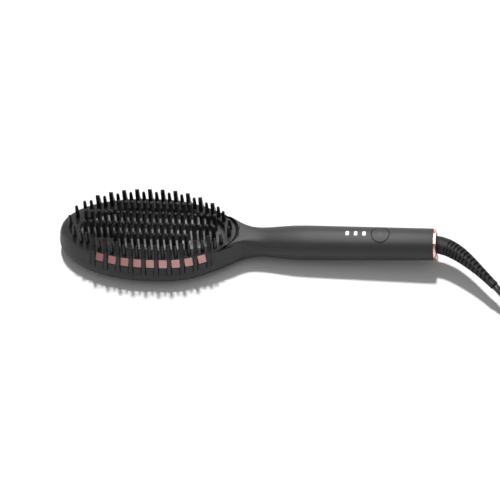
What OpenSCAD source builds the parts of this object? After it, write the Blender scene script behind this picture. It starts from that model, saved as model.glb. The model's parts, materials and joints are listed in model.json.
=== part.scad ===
// Heated hair-straightening brush, lying on its back with the bristles up.
// The origin is under the middle of the brush on the surface it lies on.
// +X runs towards the cord, +Z up. Millimetres.

/* [Head] */
// Length from the tip of the head to its widest place
head_tip_l = 72.8; // [66:0.2:78]
// Length from the widest place to the neck
neck_l = 90; // [84:1:96]
// Width of the head at its widest place
head_w = 78; // [74:1:84]
// Height of the head's rim, where the two shells part
rim_z = 8.7; // [8:0.1:10]
// Height of the shelf round the bristle well
shelf_z = 24; // [22:0.5:26]
// Height of the lip between the shelf and the neck, above the shelf
lip_h = 1.8; // [1:0.2:3]

/* [Handle] */
// Length from the neck to the end of the end ring
handle_l = 138; // [130:1:150]
// Diameter of the neck
neck_d = 23.2; // [22:0.2:24]
// Diameter of the handle at its fullest
handle_d = 27.5; // [26:0.5:29]
// Diameter of the handle at its end
handle_end_d = 25.2; // [24:0.2:26]
// Angle at which the handle rises from the surface
handle_rise = 2.5; // [2:0.1:3]
// Height of the handle's axis at the neck
neck_z = 12.5; // [12:0.1:13]
// Wall thickness of the shells
wall = 2; // [1.6:0.1:2.4]

/* [Bristle field] */
// Number of fins on each long side
edge_fins = 10; // [8:1:10]
// Distance from one fin to the next
fin_pitch = 10.2; // [9.6:0.1:10.4]
// Height of the tips of the inner bristles
bristle_top_z = 39; // [36:0.5:42]
// Height of the heated plate's face
plate_z = 19.5; // [18.5:0.5:20]
// Distance between rows of inner bristles
row_pitch = 10.4; // [10:0.2:10.8]

/* [Controls] */
// Diameter of the power button
button_d = 14; // [12:0.5:15]
// Travel of the power button
button_travel = 0.5; // [0.3:0.1:0.6]
// Distance from one indicator light to the next
light_pitch = 6.6; // [6:0.2:7]

/* [Cord] */
// Diameter of the mains cord
cord_d = 5.5; // [5:0.1:6]
// Turns of the stored coil in each of its four layers
layer_turns = 3; // [2:1:4]
// Radius of the stored coil's outer turns
coil_r = 40; // [38:1:44]

/* [Hidden] */
$fn = 48;

ring_l = 2.6;
// How far the tilted ring reaches past its place on the axis
ring_tilt = 0.5;
overall_l = head_tip_l + neck_l + handle_l;
tip_x = -overall_l / 2;
wide_x = tip_x + head_tip_l;
neck_x = wide_x + neck_l;
ring_x = overall_l / 2 - ring_l - ring_tilt;
head_r = head_w / 2;
neck_r = neck_d / 2;
seam_gap = 0.12;
shell_grey = [0.24, 0.24, 0.25];
bristle_black = [0.05, 0.05, 0.055];
rose_gold = [0.72, 0.50, 0.46];

function smooth(t) = let (u = min(1, max(0, t))) u * u * (3 - 2 * u);
function mix(a, b, t) = a + (b - a) * t;
function unit(v) = v / norm(v);

// ---- the handle's axis and radius ----
function axis_z(x) = neck_z + (x - neck_x) * tan(handle_rise);
swell_l = 36;
function handle_r(x) =
    let (swell = mix(neck_r, handle_d / 2, smooth((x - neck_x + 4) / swell_l)))
    swell - (handle_d - handle_end_d) / 2 * max(0, (x - neck_x - swell_l) / (handle_l - swell_l));

// Children are placed on the handle's axis at x: their X runs along it, their Z to its top
module on_axis(x) {
    translate([x, 0, axis_z(x)]) rotate([0, -handle_rise, 0]) children();
}

// ---- the head's outline and cross-section ----
// Half-width of the head's rim: a long ellipse towards the tip, a bell curve towards the neck
bell_power = 2.7;
function bell_y(x) =
    let (t = min(1, (x - wide_x) / neck_l))
    neck_r + (head_r - neck_r) * pow(1 - pow(t, 3), bell_power);

// Rising levels of the head's side: height, inset at the side, inset at the tip.
// The rim rounds over to the fins' feet, a bevel leans in and rounds over to the shelf.
levels = [
    [rim_z, 0, 0],
    [rim_z + 1.7, 0.45, 0.1],
    [rim_z + 3.5, 1.9, 0.4],
    [rim_z + 9.2, 5.2, 1.1],
    [rim_z + 12.5, 7.05, 2],
    [shelf_z - 0.8, 8.2, 3.3],
    [shelf_z, 9.2, 5.3]
];
// The same levels for the inside of the wall, where the shelf's underside cuts the bevel short
inner_levels = [
    levels[0], levels[1], levels[2], levels[3],
    [rim_z + 11.6, 6.5, 1.8],
    [shelf_z - wall - 0.2, 7.4, 2.9],
    [shelf_z - wall, 8.4, 4.3]
];
top_level = len(levels) - 1;
function level(k, s) = s == 0 ? levels[k] : inner_levels[k];
function level_y(x, k, s) =
    x <= wide_x
        ? let (t = (wide_x - x) / (head_tip_l - level(k, s)[2] - s))
          t >= 1 ? 0 : (head_r - level(k, s)[1] - s) * sqrt(1 - t * t)
        : let (w = bell_y(x)) w - level(k, s)[1] * pow(w / head_r, 0.6) - s;

// Height of the head's surface on the centre line, where it curves down at the tip
function tip_peak_z(x, s) =
    lookup(wide_x - x, [for (k = [top_level:-1:0]) [head_tip_l - level(k, s)[2] - s, level(k, s)[0]]]);

// The bevel's y at height z beside station x, on the outside of the shell
function bevel_y(x, z) =
    let (t = (z - levels[2][0]) / (levels[5][0] - levels[2][0]))
    mix(level_y(x, 2, 0), level_y(x, 5, 0), t);

// The shelf's hollow ends in a lip before the neck
recess_l = 71.3;
recess_w = head_r - 6.1;
lip_from = 38;
function recess_y(x) =
    let (t = (x - wide_x) / recess_l)
    t <= 0 ? recess_w : t >= 1 ? 0 : recess_w * sqrt(1 - t * t);
function lip_z(x, s) =
    shelf_z - s + (s > 0 ? 0 : lip_h * smooth((x - wide_x - 33) / lip_from));

// Upper half of the head's section at x, from the rim to the centre line, inset by s
min_step = 0.08;
function head_top(x, s) =
    let (
        crest = lip_z(x, s),
        peak = x <= wide_x ? tip_peak_z(x, s) : crest,
        grow = (crest - rim_z) / (shelf_z - s - rim_z),
        edge = level_y(x, top_level, s),
        crest_y = min(edge - 0.5, recess_y(x) + 0.8),
        inside = s == 0 && x > wide_x && recess_y(x) > 0,
        floor_y = inside ? crest_y - 0.8 : max(edge, 0) * 0.9,
        floor_z = inside ? shelf_z : crest,
        lip_y = inside ? crest_y : max(edge, 0) * 0.95,
        ys = concat([for (k = [0:top_level]) level_y(x, k, s)],
                    [lip_y, floor_y, floor_y * 2 / 3, floor_y / 3, 0]),
        zs = concat([for (k = [0:top_level]) rim_z + (level(k, s)[0] - rim_z) * grow],
                    [crest, floor_z, floor_z, floor_z, floor_z])
    )
    [for (k = [0:11]) [x, max(ys[k], (11 - k) * min_step), min(zs[k], peak)]];

// Lower half of the head's section at x, from the rim to the centre line, flat where it rests
back_depth = 9.3;
function head_bottom(x, s) =
    let (
        t = x < wide_x ? min(1, (wide_x - x) / (head_tip_l - s)) : 0,
        depth = (back_depth - s) * pow(max(0, 1 - pow(t, 2.6)), 1 / 2.6),
        w = level_y(x, 0, s)
    )
    [for (k = [0:8]) let (a = k * 90 / 8)
        [x, max(w * pow(cos(a), 0.8), (8 - k) * 11 / 8 * min_step),
         max(s, rim_z - depth * pow(sin(a), 0.8))]];

// The round handle's section at x, cut at the same places as the head's
top_angles = [0, 8, 17, 30, 41, 51, 58, 64, 70, 76, 83, 90];
function round_point(x, r, a) =
    [x - r * sin(a) * sin(handle_rise), r * cos(a), axis_z(x) + r * sin(a) * cos(handle_rise)];
function round_top(x, s) = [for (a = top_angles) round_point(x, handle_r(x) - s, a)];
function round_bottom(x, s) = [for (k = [0:8]) round_point(x, handle_r(x) - s, -k * 90 / 8)];

// The head turns into the handle across the neck
blend_half = 14;
function neck_blend(x) = smooth((x - neck_x + 12 + blend_half) / (2 * blend_half));
function section_top(x, s) = mix(head_top(x, s), round_top(x, s), neck_blend(x));
function section_bottom(x, s) =
    let (half = mix(head_bottom(x, s), round_bottom(x, s), neck_blend(x)))
    [for (k = [0:8]) [half[k][0], half[k][1], max(s, half[k][2] - (k == 0 ? seam_gap : 0))]];

function both_sides(half) =
    let (n = len(half) - 1)
    concat(half, [for (k = [n - 1:-1:0]) [half[k][0], -half[k][1], half[k][2]]]);
function other_side(ring) = [for (p = ring) [p[0], -p[1], p[2]]];

// Stations along the body: close at the tip, the lip and the neck, wide along the handle
tip_steps = 13;
function tip_station(k, l) = wide_x - l * sin(90 - 90 * pow(k / tip_steps, 1.15));
body_stations = concat(
    [for (x = [wide_x + 11:11:wide_x + 44]) x],
    [for (x = [wide_x + 50:5:wide_x + 65]) x],
    [for (d = [-3, -1.2, -0.2, 0.3, 2, 5]) wide_x + recess_l + d],
    [for (x = [neck_x - 9:4.5:neck_x + 9]) x],
    [for (x = [neck_x + 16:9:neck_x + 43]) x],
    [for (k = [0:4]) mix(neck_x + 58, ring_x, k / 4)]
);
function stations(s) = concat(
    [for (k = [0:tip_steps - 1]) tip_station(k + 0.25 * (k == 0 ? 1 : 0), head_tip_l - s)],
    [wide_x],
    body_stations
);

// A shell half: a grid of outer points, the same grid inside it, joined round its edges
module shell_skin(outer, inner) {
    n = len(outer);
    m = len(outer[0]);
    function o(i, j) = i * m + j;
    function n_(i, j) = n * m + i * m + j;
    function quad(a, b, c, d) = [[a, b, c], [a, c, d]];
    faces = concat(
        [for (i = [0:n - 2], j = [0:m - 2], f = quad(o(i, j), o(i + 1, j), o(i + 1, j + 1), o(i, j + 1))) f],
        [for (i = [0:n - 2], j = [0:m - 2],
              f = quad(n_(i, j), n_(i, j + 1), n_(i + 1, j + 1), n_(i + 1, j))) f],
        [for (i = [0:n - 2], f = quad(o(i + 1, 0), o(i, 0), n_(i, 0), n_(i + 1, 0))) f],
        [for (i = [0:n - 2], f = quad(o(i, m - 1), o(i + 1, m - 1), n_(i + 1, m - 1), n_(i, m - 1))) f],
        [for (j = [0:m - 2], f = quad(o(n - 1, j + 1), o(n - 1, j), n_(n - 1, j), n_(n - 1, j + 1))) f],
        [for (j = [1:m - 2]) [o(0, 0), o(0, j), o(0, j + 1)]],
        [for (j = [1:m - 2]) [n_(0, 0), n_(0, j + 1), n_(0, j)]],
        quad(o(0, 0), o(0, m - 1), n_(0, m - 1), n_(0, 0))
    );
    polyhedron(points = concat([for (r = outer, p = r) p], [for (r = inner, p = r) p]), faces = faces);
}

// ---- the well and what stands in it ----
well_w = 41.6;
well_tip_l = 55.6;
well_heel_l = 60.5;
function super_y(t, w, p) = w * pow(max(0, 1 - pow(t, p)), 1 / p);
function oval(inset, n = 28) = concat(
    [for (k = [0:n / 2]) let (a = -90 - 180 * k / (n / 2))
        [wide_x - (well_tip_l - inset) * abs(cos(a)), (well_w / 2 - inset) * sin(a)]],
    [for (k = [1:n / 2 - 1]) let (a = 90 - 180 * k / (n / 2))
        [wide_x + (well_heel_l - inset) * pow(abs(cos(a)), 0.8),
         (well_w / 2 - inset) * sign(sin(a)) * pow(abs(sin(a)), 0.8)]]
);
function well_y(x) = x < wide_x
    ? super_y(min(1, (wide_x - x) / well_tip_l), well_w / 2, 2)
    : super_y(min(1, (x - wide_x) / well_heel_l), well_w / 2, 2.5);

// Bristles of one row: every second place along it, the other places hold heated pins
row_y = [-1.5 * row_pitch, -0.5 * row_pitch, 0.5 * row_pitch, 1.5 * row_pitch];
bristle_x0 = wide_x + 1;
half_pitch = fin_pitch / 2;
row_margin = 3.05;
heel_room = 6;
function row_places(r, odd) = [for (k = [-12:12])
    let (x = bristle_x0 + k * half_pitch)
    if (abs(k + r) % 2 == odd && well_y(x) > abs(row_y[r]) + row_margin
        && x < wide_x + well_heel_l - heel_room) x];

fin_x0 = wide_x + 3.6;
function fin_x(i) = fin_x0 + (i - (edge_fins - 1) / 2) * fin_pitch;
function window_x(i) = fin_x(i) + half_pitch;

bristle_top_r = 1.65;
// A round tapering bristle from z to top with a rounded tip
module bristle(x, y, z, top, base_r, tip_r) {
    translate([x, y, z]) cylinder(h = top - tip_r - z, r1 = base_r, r2 = tip_r, $fn = 16);
    translate([x, y, top - tip_r]) intersection() {
        sphere(r = tip_r, $fn = 16);
        translate([0, 0, tip_r]) cube([4 * tip_r, 4 * tip_r, 2 * tip_r], center = true);
    }
}

// ---- shells ----
window_size = [6.8, 7.4];
window_z = 20.3;
bevel_lean = atan2(levels[5][1] - levels[2][1], levels[5][0] - levels[2][0]);

// Children lie on the bevel at station x: their X along it, their Z out of it
module on_bevel(x, side) {
    y = bevel_y(x, window_z);
    turn = atan2(bevel_y(x + 2, window_z) - bevel_y(x - 2, window_z), 4);
    translate([x, side * y, window_z]) rotate([0, 0, side * turn])
        rotate([side * -(90 - bevel_lean), 0, 0]) children();
}

// A narrow slot runs down the bevel on both sides of every fin
fin_t = 2.9;
slot_w = 0.5;
fin_slot_depth = 0.7;
module fin_slots(side) {
    for (i = [0:edge_fins - 1], edge = [-1, 1])
        let (x = fin_x(i), low = levels[2][0] + 0.4, high = levels[5][0])
        translate([x + edge * (fin_t + slot_w - 0.1) / 2 - side * slot_w / 2, 0, 0])
            rotate([90, 0, side * 90]) linear_extrude(slot_w) polygon([
                [bevel_y(x, low) + 1, low],
                [bevel_y(x, low) - fin_slot_depth, low],
                [bevel_y(x, high) - fin_slot_depth, high],
                [bevel_y(x, high) + 1, high]
            ]);
}

// A groove follows the foot of the lip round the heel of the hollow
heel_groove_from = 45;
heel_groove_w = 2.2;
heel_groove_depth = 1.1;
module hollow_outline() {
    translate([wide_x, 0]) scale([recess_l - 0.4, recess_w - 0.4]) circle(r = 1, $fn = 96);
}
module heel_groove() {
    translate([0, 0, shelf_z - heel_groove_depth]) linear_extrude(4) intersection() {
        difference() {
            hollow_outline();
            translate([-heel_groove_w, 0]) hollow_outline();
        }
        translate([wide_x + heel_groove_from, -head_r]) square([head_w, head_w]);
    }
}

boss_places = [[wide_x - 30, 21.8], [wide_x, 25.2], [wide_x + 30, 23.4]];
boss_r = 2.4;
pilot_r = 1.02;
clamp_top_z = 15;
module at_bosses() {
    for (p = boss_places, side = [-1, 1]) translate([p[0], side * p[1], 0]) children();
}

button_x = 106.1;
button_gap = 0.31;
light_x = 86.8;
light_size = [3.0, 4.6];

module front_shell() {
    color(shell_grey)
    difference() {
        union() {
            shell_skin([for (x = stations(0)) both_sides(section_top(x, 0))],
                       [for (x = stations(wall)) both_sides(section_top(x, wall))]);
            at_bosses() translate([0, 0, clamp_top_z])
                cylinder(h = shelf_z - wall - clamp_top_z + 0.5, r = boss_r, $fn = 24);
        }
        translate([0, 0, plate_z - 4]) linear_extrude(10) polygon(oval(0));
        at_bosses() translate([0, 0, clamp_top_z - 1]) cylinder(h = 6, r = pilot_r, $fn = 24);
        for (i = [0:edge_fins - 2], side = [-1, 1]) on_bevel(window_x(i), side)
            cube([window_size[0], window_size[1], 8], center = true);
        for (side = [-1, 1]) fin_slots(side);
        heel_groove();
        on_axis(button_x) cylinder(h = handle_d, r = button_d / 2 + button_gap);
        for (k = [-1:1]) on_axis(light_x + k * light_pitch) translate([0, 0, handle_d / 2])
            cube([light_size[0] + 0.2, light_size[1] + 0.2, handle_d / 2], center = true);
    }
}

module back_shell() {
    color(shell_grey)
    difference() {
        union() {
            shell_skin([for (x = stations(0)) other_side(both_sides(section_bottom(x, 0)))],
                       [for (x = stations(wall)) other_side(both_sides(section_bottom(x, wall)))]);
            on_axis(board_x) for (x = post_places) translate([x, 0, wall / 2 - handle_r(board_x + x)])
                cylinder(h = handle_r(board_x + x) - wall / 2 + board_top - board_t, r = 2.6, $fn = 24);
        }
        on_axis(board_x) for (x = post_places) translate([x, 0, -5.4])
            cylinder(h = 12, r = pilot_r, $fn = 24);
    }
}

// ---- fins and edge bristles ----
fin_top_z = 38.8;
fin_proud = 1.1;
fin_tip_inset = 11.3;
// The tips stand a little further in at both ends of the row
tip_bow = 1;
function tip_inset(x) = tip_bow * pow((x - fin_x0) / (edge_fins / 2 * fin_pitch), 2);
// A fin's outline at station x: up the bevel, over the shelf's edge, to a rounded tip
module fin_outline(x) {
    w = level_y(x, 0, 0);
    tip_y = w - fin_tip_inset - tip_inset(x);
    foot_z = rim_z + 2.6;
    edge_y = level_y(x, top_level, 0);
    tip_r = 1.3;
    root_z = shelf_z - 0.8;
    polygon(concat(
        [[level_y(x, 2, 0) - 1.1, foot_z + 1.4],
         [level_y(x, 2, 0) + 0.3, foot_z],
         [bevel_y(x, rim_z + 4.6) + fin_proud, rim_z + 4.6],
         [edge_y + fin_proud + 0.4, shelf_z],
         [tip_y + 1.6, fin_top_z - 4.4]],
        [for (a = [15:25:165]) [tip_y + tip_r * cos(a), fin_top_z - tip_r + tip_r * sin(a)]],
        [[tip_y - tip_r - 0.2, fin_top_z - 5],
         [edge_y - 5.4, root_z],
         [edge_y - 0.6, root_z],
         [bevel_y(x, rim_z + 10) - 1.1, rim_z + 10]]
    ));
}

module fin_row(side) {
    for (i = [0:edge_fins - 1]) {
        x = fin_x(i);
        translate([x - side * fin_t / 2, 0, 0]) rotate([90, 0, side * 90]) linear_extrude(fin_t)
            fin_outline(x);
        bristle(x, side * (level_y(x, 0, 0) - fin_tip_inset - tip_inset(x) - 0.4),
                shelf_z - 0.6, fin_top_z - 1.2, 1.9, 1.3);
    }
}
module fin_row_near() { color(shell_grey) fin_row(-1); }
module fin_row_far() { color(shell_grey) fin_row(1); }

edge_root_z = shelf_z - 0.5;
edge_bristle_inset = 11.7;
edge_top_z = 36.4;
tip_top_z = 37.2;
heel_top_z = 35.4;
edge_base_r = 1.8;
edge_tip_r = 1.2;
module edge_bristles(side) {
    for (i = [0:edge_fins - 2])
        let (x = window_x(i))
        bristle(x, side * (level_y(x, 0, 0) - edge_bristle_inset - tip_inset(x)),
                edge_root_z, edge_top_z, edge_base_r, edge_tip_r);
}
module edge_bristles_near() { color(bristle_black) edge_bristles(-1); }
module edge_bristles_far() { color(bristle_black) edge_bristles(1); }

// Bristles round the tip and the heel of the shelf: distance from the widest place, and to the side
tip_places = [[62.5, 0], [58.3, 9.8], [52.4, 14.9], [47.3, 15.8]];
module tip_bristles() {
    color(bristle_black)
    for (p = tip_places, side = p[1] == 0 ? [1] : [-1, 1])
        bristle(wide_x - p[0], side * p[1], edge_root_z, tip_top_z, edge_base_r, edge_tip_r);
}

heel_places = [[64, 3.4], [58.4, 11.4], [54, 15.8]];
module heel_bristles() {
    color(bristle_black)
    for (p = heel_places, side = [-1, 1])
        bristle(wide_x + p[0], side * p[1], edge_root_z, heel_top_z, edge_base_r, edge_tip_r);
}

// ---- inner bristles, heated plate and heater ----
plate_t = 1.5;
strip_top_z = plate_z - plate_t - 0.05;
strip_t = strip_top_z - clamp_top_z;
strip_w = 4.2;
bristle_r = 1.95;
bristle_hole_r = bristle_r + 0.1;
pin_r = 2;
pin_top_r = 1.7;

module bristle_row(r) {
    places = row_places(r, 0);
    first = places[0];
    last = places[len(places) - 1];
    color(bristle_black) {
        translate([0, 0, strip_top_z - strip_t]) linear_extrude(strip_t) intersection() {
            translate([first - strip_w / 2, row_y[r] - strip_w / 2])
                square([last - first + strip_w, strip_w]);
            polygon(oval(plate_gap));
        }
        for (x = places) {
            translate([x, row_y[r], strip_top_z - 0.1]) cylinder(h = 2.2, r = bristle_r, $fn = 16);
            bristle(x, row_y[r], strip_top_z + 2, bristle_top_z, bristle_r, bristle_top_r);
        }
    }
}
module bristle_row_1() { bristle_row(0); }
module bristle_row_2() { bristle_row(1); }
module bristle_row_3() { bristle_row(2); }
module bristle_row_4() { bristle_row(3); }

plate_gap = 0.4;
module heated_plate() {
    color([0.55, 0.55, 0.56])
    difference() {
        translate([0, 0, plate_z - plate_t]) linear_extrude(plate_t) polygon(oval(plate_gap));
        for (r = [0:3], x = row_places(r, 0)) translate([x, row_y[r], plate_z - plate_t - 1])
            cylinder(h = plate_t + 2, r = bristle_hole_r, $fn = 16);
    }
}

module heat_pins(r) {
    color([0.16, 0.16, 0.17])
    for (x = row_places(r, 1)) bristle(x, row_y[r], plate_z, bristle_top_z - 0.6, pin_r, pin_top_r);
}
module heat_pins_1() { heat_pins(0); }
module heat_pins_2() { heat_pins(1); }
module heat_pins_3() { heat_pins(2); }
module heat_pins_4() { heat_pins(3); }

// The wall round the well, with a lip that holds the plate's edge down
frame_t = 1.2;
lip_w = 0.8;
module well_frame() {
    color([0.07, 0.07, 0.075])
    translate([0, 0, clamp_top_z]) {
        linear_extrude(shelf_z - wall - clamp_top_z - 0.05) difference() {
            polygon(oval(-frame_t));
            polygon(oval(0.1));
        }
        translate([0, 0, plate_z + 0.05 - clamp_top_z]) linear_extrude(0.9) difference() {
            polygon(oval(-0.2));
            polygon(oval(lip_w));
        }
    }
}

// A bowed strip behind the windows, with a pad standing in each of them
strip_low_z = 16.9;
strip_high_z = 21.6;
strip_gap = 0.15;
strip_thick = 1.1;
function strip_ring(x, side) =
    let (off = wall + strip_gap)
    [for (p = [[off, strip_low_z], [off, strip_high_z], [off + strip_thick, strip_high_z],
               [off + strip_thick, strip_low_z]])
        [x, side * (bevel_y(x, p[1]) - p[0] / cos(bevel_lean)), p[1]]];
module strip_band(side) {
    first = window_x(0) - 4.4;
    last = window_x(edge_fins - 2) + 4.4;
    rings = [for (k = [0:18]) strip_ring(mix(first, last, k / 18), side)];
    n = len(rings);
    function v(i, j) = i * 4 + j % 4;
    faces = concat(
        [for (i = [0:n - 2], j = [0:3], f = [[v(i, j), v(i + 1, j), v(i + 1, j + 1)],
                                             [v(i, j), v(i + 1, j + 1), v(i, j + 1)]]) f],
        [[0, 1, 2], [0, 2, 3]],
        [[v(n - 1, 2), v(n - 1, 1), v(n - 1, 0)], [v(n - 1, 3), v(n - 1, 2), v(n - 1, 0)]]
    );
    polyhedron([for (r = rings, p = r) p], side < 0 ? [for (f = faces) [f[2], f[1], f[0]]] : faces);
}
pad_sink = 0.8;
pad_gap = 0.3;
pad_depth = 2.4;
module heat_strip(side) {
    color(rose_gold) {
        strip_band(side);
        for (i = [0:edge_fins - 2]) on_bevel(window_x(i), side) translate([0, 0, -pad_sink - pad_depth / 2])
            cube([window_size[0] - 2 * pad_gap, window_size[1] - 2 * pad_gap, pad_depth], center = true);
    }
}
module heat_strip_near() { heat_strip(-1); }
module heat_strip_far() { heat_strip(1); }

bar_w = 5.8;
bar_l = 78;
module heater_bars() {
    color([0.85, 0.83, 0.78])
    for (k = [-1:1]) translate([wide_x - 34, k * row_pitch - bar_w / 2, clamp_top_z])
        cube([k == 0 ? bar_l + 8 : bar_l - 14, bar_w, plate_z - plate_t - clamp_top_z]);
}

clamp_t = 1.2;
module clamp_outline() {
    difference() {
        polygon([for (a = [0:12:348]) [wide_x + 3 + 62 * cos(a), 28.4 * sin(a)]]);
        at_bosses() circle(r = 1.2, $fn = 24);
    }
}
module clamp_plate() {
    color("silver") translate([0, 0, clamp_top_z - clamp_t]) linear_extrude(clamp_t) clamp_outline();
}
mica_t = 0.5;
module mica_sheet() {
    color([0.78, 0.74, 0.62]) translate([wide_x - 30, -17, clamp_top_z - clamp_t - mica_t])
        cube([66, 34, mica_t]);
}
module clamp_screws() {
    color("dimgray") at_bosses() {
        translate([0, 0, clamp_top_z - clamp_t - 1.3]) cylinder(h = 1.3, r = 2, $fn = 24);
        translate([0, 0, clamp_top_z - clamp_t - 0.1]) cylinder(h = 5.6, r = 1, $fn = 24);
    }
}

under_mica_z = clamp_top_z - clamp_t - mica_t;
module thermistor() {
    color([0.2, 0.3, 0.25]) translate([wide_x - 12, 8, under_mica_z - 1.5]) rotate([0, 90, 0])
        cylinder(h = 7, r = 1.5, $fn = 24);
}
module thermal_fuse() {
    color([0.8, 0.8, 0.78]) translate([wide_x - 6, -8, under_mica_z - 2]) rotate([0, 90, 0])
        cylinder(h = 11, r = 2, $fn = 24);
}

// A tube of given sides swept along points: each ring square to the route there
function tangent(path, i) =
    unit(path[min(len(path) - 1, i + 1)] - path[max(0, i - 1)]);
function tube_ring(c, t, r, sides) =
    let (b = unit(cross(t, [0, 0, 1])), u = cross(t, b))
    [for (k = [0:sides - 1]) c + r * (cos(360 * k / sides) * b + sin(360 * k / sides) * u)];
module tube_rings(rings) {
    n = len(rings);
    m = len(rings[0]);
    function v(i, j) = i * m + j % m;
    polyhedron(
        [for (r = rings, p = r) p],
        concat(
            [for (i = [0:n - 2], j = [0:m - 1], f = [[v(i, j), v(i + 1, j), v(i + 1, j + 1)],
                                                     [v(i, j), v(i + 1, j + 1), v(i, j + 1)]]) f],
            [for (j = [1:m - 2]) [v(0, 0), v(0, j), v(0, j + 1)]],
            [for (j = [1:m - 2]) [v(n - 1, 0), v(n - 1, j + 1), v(n - 1, j)]]
        )
    );
}
module tube(path, r, sides) {
    tube_rings([for (i = [0:len(path) - 1]) tube_ring(path[i], tangent(path, i), r, sides)]);
}

terminal_x = wide_x + 38;
terminal_h = 4;
module terminal_block() {
    color([0.85, 0.84, 0.8]) translate([terminal_x, -7, clamp_top_z - clamp_t - terminal_h])
        cube([8, 14, terminal_h]);
}
lead_ys = [-4, 0, 4];
lead_z = clamp_top_z - clamp_t - terminal_h / 2;
module heater_leads() {
    color([0.75, 0.2, 0.15])
    for (y = lead_ys)
        tube([[terminal_x + 7, y, lead_z], [terminal_x + 12, y, lead_z], [neck_x - 30, y, lead_z - 1.4],
              [neck_x - 12, y * 0.9, lead_z - 1.6], [neck_x + 10, y * 0.8, lead_z - 0.6],
              [neck_x + 32, y * 0.8, 13.2], [neck_x + 43, y * 0.8, axis_z(60)],
              [neck_x + 49, y * 0.8, axis_z(61) + 0.5]], 0.8, 8);
}

// ---- handle: board, lights, switch and button ----
board_l = 56;
board_x = 88.4;
board_top = 3.6;
board_t = 1.6;
board_w = 17;
post_places = [-21, 25];
module main_board() {
    color([0.10, 0.35, 0.18])
    on_axis(board_x) difference() {
        translate([-board_l / 2, -board_w / 2, board_top - board_t]) cube([board_l, board_w, board_t]);
        for (x = post_places) translate([x, 0, 0]) cylinder(h = 9, r = 1.2, $fn = 24);
    }
}
module board_screws() {
    color("dimgray") on_axis(board_x) for (x = post_places) translate([x, 0, 0]) {
        translate([0, 0, board_top]) cylinder(h = 1.2, r = 2, $fn = 24);
        translate([0, 0, -4.4]) cylinder(h = 4.4 + board_top + 0.1, r = 1, $fn = 24);
    }
}
module board_parts() {
    color([0.12, 0.12, 0.13]) on_axis(board_x) {
        translate([-board_l / 2, -6, board_top - board_t - 3]) cube([3.8, 12, 3]);
        translate([-18.5, -6, board_top]) cube([6, 12, 3]);
        translate([-17, -6.5, board_top - board_t - 4.5]) cube([14, 13, 4.5]);
        translate([2, -6.5, board_top - board_t - 3.6]) cube([8, 13, 3.6]);
    }
}
led_h = 1.2;
module indicator_leds() {
    color("white") for (k = [-1:1]) on_axis(light_x + k * light_pitch)
        translate([-1.4, -1.4, board_top]) cube([2.8, 2.8, led_h]);
}

// The outside of the handle from x - 12 to x + 12, as a cone on the handle's axis
module handle_cone(x, grow = 0) {
    on_axis(x) rotate([0, 90, 0]) translate([0, 0, -12])
        cylinder(h = 24, r1 = handle_r(x - 12) + grow, r2 = handle_r(x + 12) + grow, $fn = 96);
}
light_sink = 0.05;
module light_windows() {
    color([0.96, 0.97, 1])
    for (k = [-1:1]) intersection() {
        on_axis(light_x + k * light_pitch) translate([0, 0, board_top + led_h])
            translate([-light_size[0] / 2, -light_size[1] / 2, 0])
                cube([light_size[0], light_size[1], handle_d / 2]);
        handle_cone(light_x + k * light_pitch, -light_sink);
    }
}

switch_h = 3.4;
module switch_body() {
    color([0.1, 0.1, 0.1]) on_axis(button_x) difference() {
        translate([-3.1, -3.1, board_top]) cube([6.2, 6.2, switch_h]);
        translate([0, 0, board_top + 0.8]) cylinder(h = 5, r = 2.07, $fn = 32);
    }
}
// At rest the plunger stands clear of the pressed depth by a small margin
plunger_margin = 0.4;
plunger_top = board_top + switch_h + button_travel + plunger_margin;
module switch_plunger() {
    color([0.85, 0.85, 0.82]) on_axis(button_x) translate([0, 0, plunger_top - 2.5])
        cylinder(h = 2.5, r = 1.75, $fn = 32);
}
cap_skirt = 9.6;
module power_button() {
    color(shell_grey) {
        intersection() {
            on_axis(button_x) translate([0, 0, cap_skirt]) cylinder(h = handle_d, r = button_d / 2);
            handle_cone(button_x, -0.05);
        }
        on_axis(button_x) {
            translate([0, 0, plunger_top]) cylinder(h = cap_skirt - plunger_top + 0.5, r = 2.2, $fn = 32);
            translate([-8.6, -3, cap_skirt - 0.6]) cube([17.2, 6, 1]);
        }
    }
}

// ---- the end ring and the swivel ----
ring_hole_r = 8;
spindle_r = 4.6;
module along_axis(x) {
    on_axis(x) rotate([0, 90, 0]) children();
}
module end_ring() {
    color(rose_gold)
    along_axis(ring_x) rotate_extrude($fn = 96) polygon([
        [ring_hole_r + 2, 0.1], [handle_end_d / 2 - 0.5, 0.1], [handle_end_d / 2 - 0.1, 0.5],
        [handle_end_d / 2 - 0.1, ring_l - 0.6], [handle_end_d / 2 - 0.7, ring_l - 0.05],
        [ring_hole_r + 2, ring_l - 0.05]]);
}
module end_cap() {
    color([0.08, 0.08, 0.085])
    along_axis(ring_x) rotate_extrude($fn = 96) polygon([
        [ring_hole_r, -6], [handle_end_d / 2 - wall - 0.2, -6], [handle_end_d / 2 - wall - 0.2, 0],
        [ring_hole_r + 1.9, 0], [ring_hole_r + 1.9, ring_l - 0.4], [ring_hole_r, ring_l - 0.4]]);
}
bush_l = 12;
bush_r = handle_end_d / 2 - wall - 0.1;
module swivel_bush() {
    color([0.8, 0.8, 0.76])
    along_axis(ring_x - 6.1 - bush_l) rotate_extrude($fn = 96) polygon([
        [spindle_r + 0.08, 0], [bush_r, 0], [bush_r, 3], [bush_r - 3, 3], [bush_r - 3, bush_l - 3],
        [bush_r, bush_l - 3], [bush_r, bush_l], [spindle_r + 0.08, bush_l]]);
}
flange_r = 7.4;
spindle_l = 32;
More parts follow.
